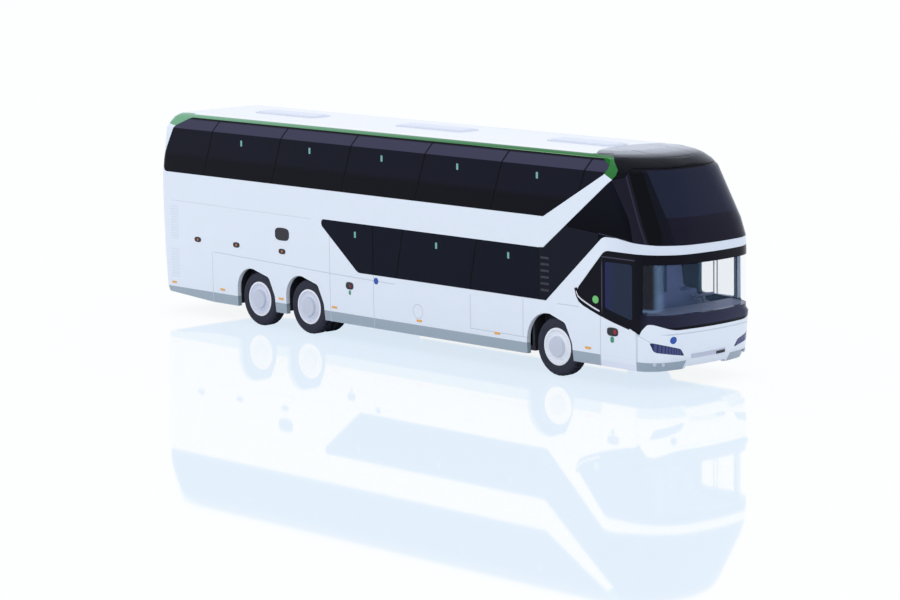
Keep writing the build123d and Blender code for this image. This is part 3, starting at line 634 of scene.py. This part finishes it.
def makeRim():
    # a greyer hub with a thin line round it, a pale dish and a bright outer ring
    r = rimLook
    f = Finish("rimWhite", 0.28, 0.5, 0.2)
    x, y, z = f.at()
    height = z - wheelRadius
    out = None  # distance from the nearest axle
    for axleX, twin in axles.values():
        far = ((x - axleX) * (x - axleX) + height * height).root()
        out = far if out is None else out.low(far)
    tone = f.mix(f.noise(500.0), r["dish"], r["dishShade"])
    # painted light: the front wheels' dish is a lighter white than the rear ones
    tone = f.mix(step(x, 0.0), tone, r["frontDishLit"])
    tone = f.mix(1 - step(out, r["hubRadius"]), tone, r["hub"])
    tone = f.mix(stroke(out, r["lineRadius"], 0.1, 0.1) * 0.5, tone, r["line"])
    f.set(Base_Color=f.mix(step(out, r["ringFrom"]), tone, r["ring"]))
    f.grain()
    return f.material


def makeTyre():
    f = Finish("tyreBlack", 0.62, 0.35)
    f.set(Base_Color=f.mix(f.noise(700.0, 4.0), colour(28, 32, 50), colour(36, 40, 58)))
    f.grain(4000.0, 0.3)
    return f.material


def makeSteel():
    f = Finish("axleSteel", 0.32, 0.5, 0.0, 1.0)
    f.set(Base_Color=f.mix(f.noise(300.0), colour(158, 160, 166), colour(140, 142, 150)),
          Roughness=f.noise(1200.0) * 0.2 + 0.2)
    return f.material


def makePrint(name, rgb, rough=0.25):
    # printed or moulded colour, slightly uneven
    f = Finish(name, rough, 0.4)
    f.set(Base_Color=f.mix(f.noise(800.0) * 0.3, rgb, tuple(c * 0.85 for c in rgb[:3]) + (1.0,)))
    return f.material


looks = {
    "bodyWhite": makeBodyWhite(),
    "frontWhite": makeFrontWhite(),
    "rearWhite": makeRear(),
    "upperGlazing": makeGlazing("upperGlazing", glassLook["upper"], upperDivisions, True),
    "lowerGlazing": makeGlazing("lowerGlazing", glassLook["lower"], lowerDivisions),
    "quarterLow": makeGlazing("quarterPanel", glassLook["panel"], (paneJoint,)),
    "quarterHigh": makeQuarterHigh(),
    "rearGlazing": makeGlazing("rearGlazing", glassLook["upper"]),
    "upperScreen": makeUpperScreen(),
    "dome": makeDome(),
    "surround": makeSurround(),
    "doorGlass": makeDoorGlass(),
    "clearScreen": makeClearScreen(),
    "driverGlass": makeDriverGlass(),
    "lamp": makeLamp(),
    "tail": makeTail(),
    "chassis": makeMoulded("chassisBlack", colour(46, 48, 56), colour(38, 40, 47)),
    "interior": makeMoulded("interiorBlue", colour(90, 103, 156), colour(80, 92, 140)),
    "dash": makeMoulded("dashGrey", colour(116, 124, 156), colour(104, 112, 142), 0.5),
    "rim": makeRim(),
    "tyre": makeTyre(),
    "steel": makeSteel(),
    "hatch": makePrint("hatchWhite", colour(222, 230, 247), 0.2),
    "mint": makePrint("markerMint", colour(118, 178, 172)),
    "black": makePrint("printBlack", colour(30, 32, 42)),
    "louvre": makePrint("louvreBlack", colour(36, 40, 56)),
    "orange": makePrint("markerOrange", colour(240, 176, 92)),
    "amber": makePrint("markerAmber", colour(196, 112, 48)),
    "red": makePrint("buttonRed", colour(150, 28, 44)),
    "green": makePrint("buttonGreen", colour(64, 150, 120)),
    "sticker": makePrint("stickerGreen", colour(110, 196, 112)),
    "blue": makePrint("stickerBlue", colour(40, 84, 176)),
    "plate": makePrint("plateGrey", colour(190, 198, 220)),
    "edgeHighlight": makePrint("edgeHighlight", colour(222, 226, 240)),
}
print("materials made", len(looks))

# Nodes that only need a finish, and nodes whose strips are shaded round
plainNodes = {
    "chassis": "chassis", "lower_deck": "interior", "upper_deck": "interior", "cab_floor": "interior",
    "staircase": "interior", "driver_seat": "interior", "steering_wheel": "dash", "dashboard": "dash",
    "roof_hatch_front": "hatch", "roof_hatch_middle": "hatch", "roof_hatch_rear": "hatch",
    "front_axle": "steel", "drive_axle": "steel", "tag_axle": "steel",
}
roundNodes = {
    "body_shell": ("bodyWhite", "body_white"), "front_bumper": ("frontWhite", "body_white"),
    "engine_cover": ("rearWhite", "body_white"), "front_dome": ("dome", "black_glazing"),
    "upper_windscreen": ("upperScreen", "tinted_glazing"),
    "windscreen_surround": ("surround", "black_glazing"),
    "lower_windscreen": ("clearScreen", "clear_glazing"), "rear_window": ("rearGlazing", "black_glazing"),
}
for sideName in ("right", "left"):
    roundNodes["upper_side_glazing_" + sideName] = ("upperGlazing", "black_glazing")
    roundNodes["lower_side_glazing_" + sideName] = ("lowerGlazing", "black_glazing")
    roundNodes["quarter_panel_" + sideName] = ("quarterLow", "black_glazing")
    roundNodes["upper_quarter_glazing_" + sideName] = ("quarterHigh", "black_glazing")
    roundNodes["headlamp_" + sideName] = ("lamp", "headlamp_lens")
    roundNodes["tail_lamp_" + sideName] = ("tail", "tail_lamp_red")
    for axle in axles:
        roundNodes[axle + "_rim_" + sideName] = ("rim", "rim_white")
roundNodes["door_window"] = ("doorGlass", "tinted_glazing")
roundNodes["driver_window"] = ("driverGlass", "clear_glazing")
for name, look in plainNodes.items():
    nodes[name].data.materials.clear()
    nodes[name].data.materials.append(looks[look])
for name, (look, slotName) in roundNodes.items():
    smoothCopy(name, looks[look])
print("body pieces finished")

# Tyres with grooves and shoulder notches
tyreLook = {
    "face": 14.2, "steps": 132, "notch": 0.3, "notchEvery": 4, "twinStep": 3.7,
    # depth below the tread, distance in from the outer face, whether notched
    "profile": ((2.18, 0.12, 0), (1.7, 0.02, 0), (1.62, 0.0, 0), (1.54, 0.03, 0), (0.9, 0.0, 0),
                (0.5, 0.12, 0), (0.25, 0.3, 0), (0.05, 0.55, 1), (0.0, 0.75, 1), (0.0, 1.02, 1),
                (0.24, 1.06, 0), (0.24, 1.2, 0), (0.0, 1.24, 0), (0.0, 1.96, 0), (0.24, 2.0, 0),
                (0.24, 2.14, 0), (0.0, 2.18, 1), (0.0, 2.45, 1), (0.05, 2.65, 1), (0.25, 2.9, 0),
                (0.9, 3.2, 0), (2.18, 3.08, 0)),
}


def spinTyre(x, side, start):
    verts, faces = [], []
    rows = tyreLook["profile"]
    steps = tyreLook["steps"]
    for turn in range(steps):
        angle = 2 * math.pi * turn / steps
        for under, depth, notched in rows:
            radius = wheelRadius - under
            if notched and turn % tyreLook["notchEvery"] == 0:
                radius -= tyreLook["notch"]
            verts.append((x + radius * math.cos(angle), side * (tyreLook["face"] - start - depth),
                          wheelRadius + radius * math.sin(angle)))
    count = len(rows)
    for turn in range(steps):
        here, ahead = turn * count, ((turn + 1) % steps) * count
        for row in range(count):
            after = (row + 1) % count
            faces.append((here + row, here + after, ahead + after, ahead + row))
    return verts, faces


for axle, (axleX, twin) in axles.items():
    for side, sideName in ((-1, "right"), (1, "left")):
        verts, faces = spinTyre(axleX, side, 0.0)
        if twin:
            more, moreFaces = spinTyre(axleX, side, tyreLook["twinStep"])
            faces += [tuple(i + len(verts) for i in f) for f in moreFaces]
            verts += more
        tyre = addPiece(axle + "Tyre" + sideName.capitalize(), verts, faces, looks["tyre"], "tyre_black",
                        axle + "_wheelset")
        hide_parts(axle + "_tyre_" + sideName)
print("tyres made")

# Printed and fitted marks on the sides, built as thin plates that follow the wall
wallLevels = ((3.75, 14.46), (6.0, 14.6), (13.5, 14.66), (32.4, 14.66), (42.6, 14.46), (43.9, 13.61),
              (44.9, 12.9))  # height and half width
sunk = 0.05  # how far a plate reaches into the surface behind it


def wallY(z):
    for (lowZ, lowY), (highZ, highY) in zip(wallLevels, wallLevels[1:]):
        if z <= highZ:
            return lowY + (highY - lowY) * (z - lowZ) / (highZ - lowZ)
    return wallLevels[-1][1]


def plate(outline, side, proud, verts, faces):
    # adds a plate with the given outline of x, z points, standing proud of the wall
    start = len(verts)
    count = len(outline)
    for lift in (-sunk, proud):
        verts += [(x, side * (wallY(z) + lift), z) for x, z in outline]
    faces.append(tuple(start + count + i for i in range(count)))
    for i in range(count):
        ahead = (i + 1) % count
        faces.append((start + i, start + ahead, start + count + ahead, start + count + i))


def ovalOutline(x, z, halfWidth, halfHeight, square, count=28):
    # an ellipse at a squareness of 2, near a rectangle at 8
    points = []
    for k in range(count):
        angle = 2 * math.pi * k / count
        c, s = math.cos(angle), math.sin(angle)
        points.append((x + halfWidth * math.copysign(abs(c) ** (2 / square), c),
                       z + halfHeight * math.copysign(abs(s) ** (2 / square), s)))
    return points


marks = {
    # name: finish, proud, sides, rows of x, z, half width, half height, squareness
    "hammerMarks": ("mint", 0.02, (-1, 1),
                    [(x, 40.6, 0.3, 0.66, 8) for x in (-49.55, -26.2, -2.7, 20.8, 44.3)]
                    + [(x, 23.5, 0.3, 0.66, 8) for x in (-11.5, 14.2, 35.9)]),
    "ventOvals": ("black", 0.05, (-1, 1), [(x, 17.6, 1.15, 0.6, 2.6) for x in (-65.7, -51.9, -36.0)]
                  + [(-35.9, 21.45, 2.4, 1.42, 3.2)]),
    "ventCores": ("amber", 0.07, (-1, 1), [(x, 17.6, 0.3, 0.28, 2.0) for x in (-65.7, -51.9, -36.0)]),
    "sideMarkers": ("orange", 0.06, (-1, 1), [(x, 6.95, 0.85, 0.24, 6)
                                              for x in (-74.7, -57.2, -36.7, -18.7, 8.6, 32.4, 58.6)]),
    "doorButtons": ("black", 0.1, (-1,), [(65.5, 10.95, 1.5, 0.85, 3.2), (-13.5, 12.2, 1.2, 0.8, 2.8)]),
    "doorButtonLights": ("red", 0.13, (-1,), [(66.25, 11.0, 0.42, 0.5, 2.4), (-13.2, 12.2, 0.3, 0.34, 2.2)]),
    "doorButtonMarks": ("green", 0.03, (-1,), [(65.35, 9.35, 0.5, 0.62, 3.0), (-13.5, 10.7, 0.34, 0.5, 3.0)]),
    "windowSticker": ("sticker", 0.03, (-1,), [(60.8, 16.95, 0.85, 0.78, 2.0)]),
    "sideSticker": ("blue", 0.03, (-1,), [(-4.9, 14.1, 0.72, 0.72, 2.0)]),
}
for name, (look, proud, sides, rows) in marks.items():
    verts, faces = [], []
    for side in sides:
        for x, z, halfWidth, halfHeight, square in rows:
            plate(ovalOutline(x, z, halfWidth, halfHeight, square), side, proud, verts, faces)
    addPiece(name, verts, faces, looks[look], "black_glazing" if look == "black" else "body_white")

# Air louvres on the black quarter panel: a column of slats on each side
louvre = {"x": (45.35, 47.75), "z": (17.4, 24.0), "count": 6, "height": 0.5, "proud": 0.1, "bevel": 0.05}
verts, faces = [], []
for side in (-1, 1):
    for k in range(louvre["count"]):
        z = louvre["z"][0] + (louvre["z"][1] - louvre["z"][0]) * k / (louvre["count"] - 1)
        rear, front = louvre["x"]
        half = louvre["height"] / 2
        slat = [(rear, z - half), (front, z - half), (front, z + half), (rear, z + half)]
        plate(slat, side, louvre["proud"], verts, faces)
addPiece("airLouvres", verts, faces, looks["louvre"], "black_glazing", bevel=louvre["bevel"])

# Painted highlight: a pale strip under the cab side window, over its black frame, standing in for light
# caught along the frame's edge
cabEdge = {
    "line": ((55.35, 18.1), (55.9, 17.15), (57.0, 16.5), (58.6, 15.85), (60.2, 15.25), (61.9, 14.72)),
    "lean": 0.05, "above": 0.17, "below": 0.13, "proud": 0.06,
}
verts, faces = [], []
for side in (-1, 1):
    upper = [(x + cabEdge["lean"], z + cabEdge["above"]) for x, z in cabEdge["line"]]
    lower = [(x - cabEdge["lean"], z - cabEdge["below"]) for x, z in cabEdge["line"]]
    plate(upper + lower[::-1], side, cabEdge["proud"], verts, faces)
addPiece("cabEdgeHighlight", verts, faces, looks["edgeHighlight"], "body_white")

# The black frame's lower edge round that highlight strip, and the strip over the joint of two panes
blackRim = {
    "frame": ((54.85, 18.7), (55.4, 17.0), (56.1, 16.05), (57.3, 15.4), (59.2, 14.72), (62.0, 13.82),
              (65.6, 12.85), (70.0, 11.85), (70.2, 12.2), (66.0, 13.9), (62.0, 15.4), (58.5, 16.8),
              (56.2, 17.9), (55.6, 18.9)),
    "joint": ((44.25, 15.35), (44.75, 15.35), (44.75, 25.95), (44.25, 25.95)),
    "frameProud": 0.03, "jointProud": 0.02,
}
verts, faces = [], []
for side in (-1, 1):
    plate(blackRim["frame"], side, blackRim["frameProud"], verts, faces)
    plate(blackRim["joint"], side, blackRim["jointProud"], verts, faces)
addPiece("blackRims", verts, faces, looks["surround"], "black_glazing")
print("side marks made")

# Front: bowed strips and small parts, on a nose given as rows of height and set-back
frontLevels = ((3.75, 3.2), (6.0, 1.8), (13.5, 0.7), (14.2, 1.1), (26.0, 0.35))
nose = {"tip": 80.2, "bow": 50.0, "spans": 12}


def frontX(y, z):
    for (lowZ, lowIn), (highZ, highIn) in zip(frontLevels, frontLevels[1:]):
        if z <= highZ:
            setBack = lowIn + (highIn - lowIn) * (z - lowZ) / (highZ - lowZ)
            break
    return nose["tip"] - setBack - nose["bow"] + math.sqrt(nose["bow"] ** 2 - y * y)


def frontStrip(name, ends, proud, look, slot):
    # a plate across the bowed front; each end has its y, low z and high z
    (startY, startLow, startHigh), (endY, endLow, endHigh) = ends
    verts, faces = [], []
    spans = nose["spans"]
    for k in range(spans + 1):
        t = k / spans
        y = startY + (endY - startY) * t
        for z in (startLow + (endLow - startLow) * t, startHigh + (endHigh - startHigh) * t):
            verts += [(frontX(y, z) - sunk, y, z), (frontX(y, z) + proud, y, z)]
    for k in range(spans):
        a, b = 4 * k, 4 * k + 4
        for i, j in ((0, 1), (1, 3), (3, 2), (2, 0)):
            faces.append((a + i, a + j, b + j, b + i))
    faces += [(0, 1, 3, 2), (4 * spans, 4 * spans + 2, 4 * spans + 3, 4 * spans + 1)]
    addPiece(name, verts, faces, looks[look], slot, bevel=0.03)


frontStrip("plateStrip", ((-5.5, 5.95, 6.85), (4.3, 6.05, 6.95)), 0.08, "plate", "body_white")
frontStrip("plateVent", ((1.45, 6.0, 6.62), (4.2, 6.02, 6.66)), 0.12, "black", "black_glazing")

studs = {
    # name: finish, radius, rise, rows of place and outward direction
    "cornerSensors": ("plate", 0.44, 0.36,
                      [((75.4, side * 13.1, 5.25), (0.55, side * 0.8, -0.1)) for side in (-1, 1)]
                      + [((76.45, side * 11.8, 5.25), (0.7, side * 0.7, -0.1)) for side in (-1, 1)]),
    "frontSticker": ("blue", 0.78, 0.12, [((77.93, -10.3, 10.1), (0.97, -0.24, -0.14))]),
}
studForm = {"rings": 5, "around": 20, "sunk": 0.03, "crown": 0.96}  # the crown stops short of its middle


def roundStuds(name, look, radius, rise, places):
    # low domes, such as the sensor buttons on the grey corners and the blank round sticker
    verts, faces = [], []
    rings, around = studForm["rings"], studForm["around"]
    for centre, out in places:
        c, n = Vector(centre), Vector(out).normalized()
        u = n.cross(Vector((0, 0, 1))).normalized()
        v = n.cross(u)
        start = len(verts)
        for ring in range(rings):
            lean = ring / (rings - 1) * math.pi / 2
            reach, lift = radius * math.cos(lean * studForm["crown"]), rise * math.sin(lean)
            for k in range(around):
                a = 2 * math.pi * k / around
                spread = u * (reach * math.cos(a)) + v * (reach * math.sin(a))
                verts.append(tuple(c + spread + n * (lift - studForm["sunk"])))
        for ring in range(rings - 1):
            for k in range(around):
                a, b = start + ring * around + k, start + ring * around + (k + 1) % around
                faces.append((a, b, b + around, a + around))
        faces.append(tuple(start + (rings - 1) * around + k for k in range(around)))
    addPiece(name, verts, faces, looks[look], "body_white", smooth=True)


for name, (look, radius, rise, places) in studs.items():
    roundStuds(name, look, radius, rise, places)
print("front parts made")

# Floor: bright and glossy, with a pale mirror image of the model
studio = {
    "reach": 3.0, "tint": (0.26, 0.145, 0.03, 1.0), "glow": (0.68, 0.78, 0.885, 1.0),
    "dull": (0.09, 0.09, 0.09, 1.0), "plain": (0.86, 0.88, 0.9, 1.0), "polish": 0.035,
    "white": (1, 1, 1, 1), "glossLight": (0.82, 0.88, 1.0, 1.0),
    "softbox": {"place": (0, 0.1, 1.2), "size": 1.0, "watts": 0.8},
}


def makeFloor():
    # the camera sees a glow with a mirror image in it, other rays meet plain white
    f = Finish("floorWhite", 0.5)
    f.set(Base_Color=studio["plain"])
    gloss = f.node("ShaderNodeBsdfGlossy", None, {"Color": studio["tint"], "Roughness": studio["polish"]})
    glow = f.node("ShaderNodeEmission", None, {"Color": studio["glow"], "Strength": 1.0})
    dull = f.node("ShaderNodeBsdfDiffuse", None, {"Color": studio["dull"]})
    bright = f.node("ShaderNodeAddShader", None, {0: gloss, 1: glow})
    seen = f.node("ShaderNodeAddShader", None, {0: bright, 1: dull})
    seenByCamera = f.node("ShaderNodeLightPath")
    plain = Sock(f.tree, f.shader.outputs[0])
    mixed = f.node("ShaderNodeMixShader", None, {0: seenByCamera, 1: plain, 2: seen})
    f.feed(f.tree.nodes["Material Output"].inputs[0], mixed)
    return f.material


floorMesh = bpy.data.meshes.new("floor")
reach = studio["reach"]
floorCorners = [(-reach, -reach, 0), (reach, -reach, 0), (reach, reach, 0), (-reach, reach, 0)]
floorMesh.from_pydata(floorCorners, [], [(0, 1, 2, 3)])
floor = bpy.data.objects.new("floor", floorMesh)
bpy.context.scene.collection.objects.link(floor)
floorMesh.materials.append(makeFloor())

# A white world, slightly blue where surfaces mirror it
world = bpy.data.worlds.new("studioWorld")
bpy.context.scene.world = world
world.use_nodes = True
back = world.node_tree.nodes["Background"]
back.inputs["Strength"].default_value = 1.0
path = world.node_tree.nodes.new("ShaderNodeLightPath")
tint = world.node_tree.nodes.new("ShaderNodeMix")
tint.data_type = "RGBA"
tint.inputs[6].default_value = studio["white"]
tint.inputs[7].default_value = studio["glossLight"]
world.node_tree.links.new(path.outputs["Is Glossy Ray"], tint.inputs["Factor"])
world.node_tree.links.new(tint.outputs[2], back.inputs["Color"])

# One softbox above lifts the roof
lampData = bpy.data.lights.new("topSoftbox", "AREA")
lampData.shape = "SQUARE"
lampData.size = studio["softbox"]["size"]
lampData.energy = studio["softbox"]["watts"]
lampData.color = studio["glossLight"][:3]
lamp = bpy.data.objects.new("topSoftbox", lampData)
bpy.context.scene.collection.objects.link(lamp)
lamp.visible_camera = False
lamp.location = studio["softbox"]["place"]
lamp.rotation_euler = (-lamp.location).to_track_quat("-Z", "Y").to_euler()
print("studio made")

# Camera at the photograph's place
view = {"place": (0.506274, -0.468416, 0.1154), "yaw": 47.084, "pitch": 8.785, "roll": -0.735,
        "focalPixels": 3228.24, "photoWidth": 900, "sensor": 36.0}
cameraData = bpy.data.cameras.new("camera")
cameraData.sensor_width = view["sensor"]
cameraData.lens = view["focalPixels"] / view["photoWidth"] * view["sensor"]
camera = bpy.data.objects.new("camera", cameraData)
bpy.context.scene.collection.objects.link(camera)
yaw, pitch, roll = (math.radians(view[k]) for k in ("yaw", "pitch", "roll"))
forward = Vector((-math.sin(yaw) * math.cos(pitch), math.cos(yaw) * math.cos(pitch), -math.sin(pitch)))
right = Vector((math.cos(yaw), math.sin(yaw), 0))
up = right.cross(forward)
rightRolled = math.cos(roll) * right + math.sin(roll) * up
upRolled = -math.sin(roll) * right + math.cos(roll) * up
turn = Matrix((rightRolled, upRolled, -forward)).transposed().to_4x4()
camera.matrix_world = Matrix.Translation(view["place"]) @ turn
bpy.context.scene.camera = camera
bpy.context.scene.view_settings.view_transform = "Standard"
